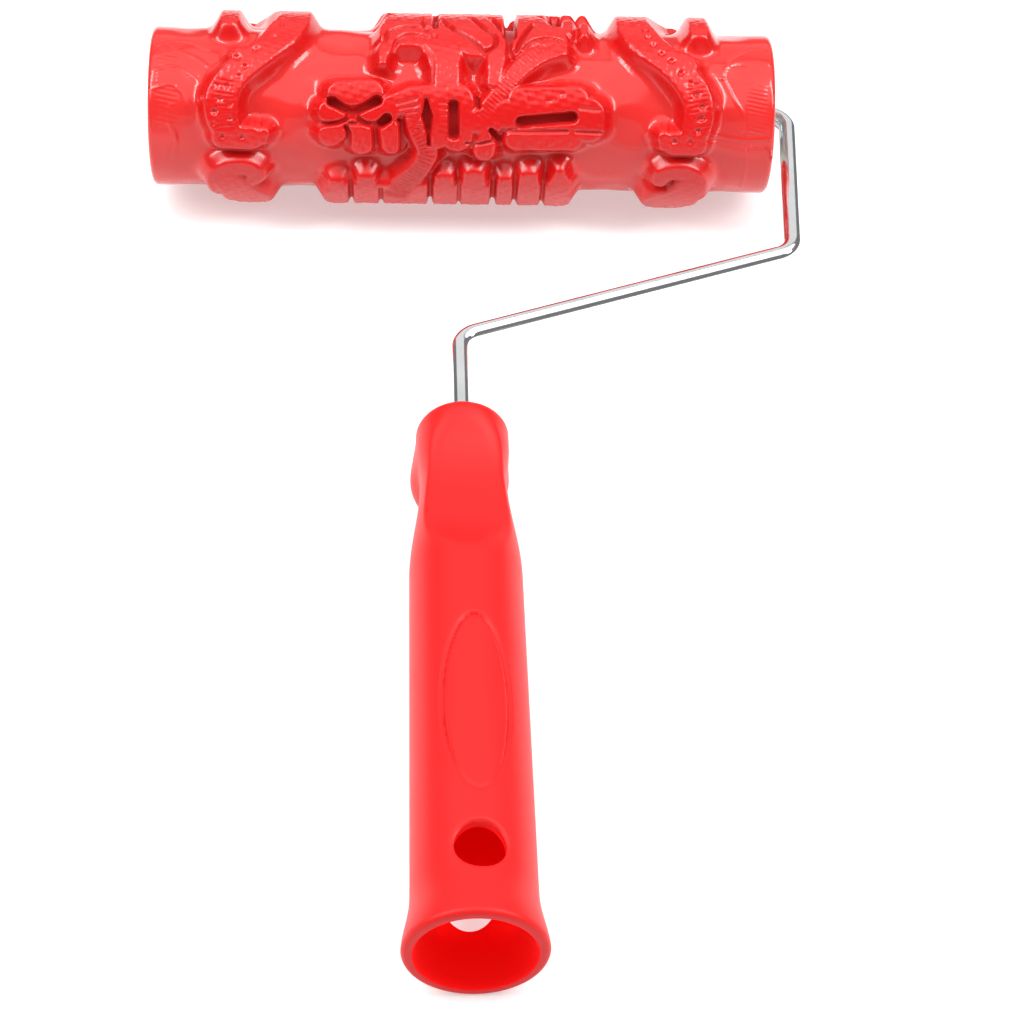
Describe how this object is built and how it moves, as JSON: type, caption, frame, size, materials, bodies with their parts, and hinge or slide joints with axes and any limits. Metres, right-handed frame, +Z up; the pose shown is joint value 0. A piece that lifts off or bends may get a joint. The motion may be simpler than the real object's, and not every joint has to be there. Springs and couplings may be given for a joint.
{
  "type": "textured pattern roller",
  "caption": "Hand roller that prints a raised pattern: an embossed soft sleeve turns on a bent wire frame with a hollow moulded handle that takes an extension pole.",
  "frame": {"origin": "on the bench, under the middle of the tool's bounding box, as the tool lies on its roller and its handle's rim", "axes": "+Z up from the bench, +X along the axle towards the side arm, +Y from the handle towards the roller"},
  "size_m": [0.1887, 0.322, 0.056],
  "materials": {
    "sleeve_rubber": "glossy, slightly translucent soft rubber",
    "core_plastic": "matte extruded tube",
    "plug_plastic": "satin moulded",
    "bush_plastic": "waxy moulded",
    "washer_steel": "zinc plated",
    "collar_steel": "turned and zinc plated",
    "ring_steel": "pressed spring steel",
    "wire_chrome": "bright chrome plate",
    "handle_plastic": "satin moulded plastic"
  },
  "bodies": {
    "frame": {"wire_frame": "wire_chrome", "handle": "handle_plastic", "stop_collar": "collar_steel", "retaining_ring": "ring_steel", "frame_side_washer": "washer_steel", "free_side_washer": "washer_steel"},
    "roller": {"pattern_sleeve": "sleeve_rubber", "core_tube": "core_plastic", "frame_side_plug": "plug_plastic", "free_side_plug": "plug_plastic", "frame_side_bush": "bush_plastic", "free_side_bush": "bush_plastic"}
  },
  "joints": [
    {"name": "roller_spin", "type": "hinge", "parent": "frame", "child": "roller", "pos_m": [-0.0045, 0.1328, 0.028], "axis": [1, 0, 0], "continuous": true}
  ]
}
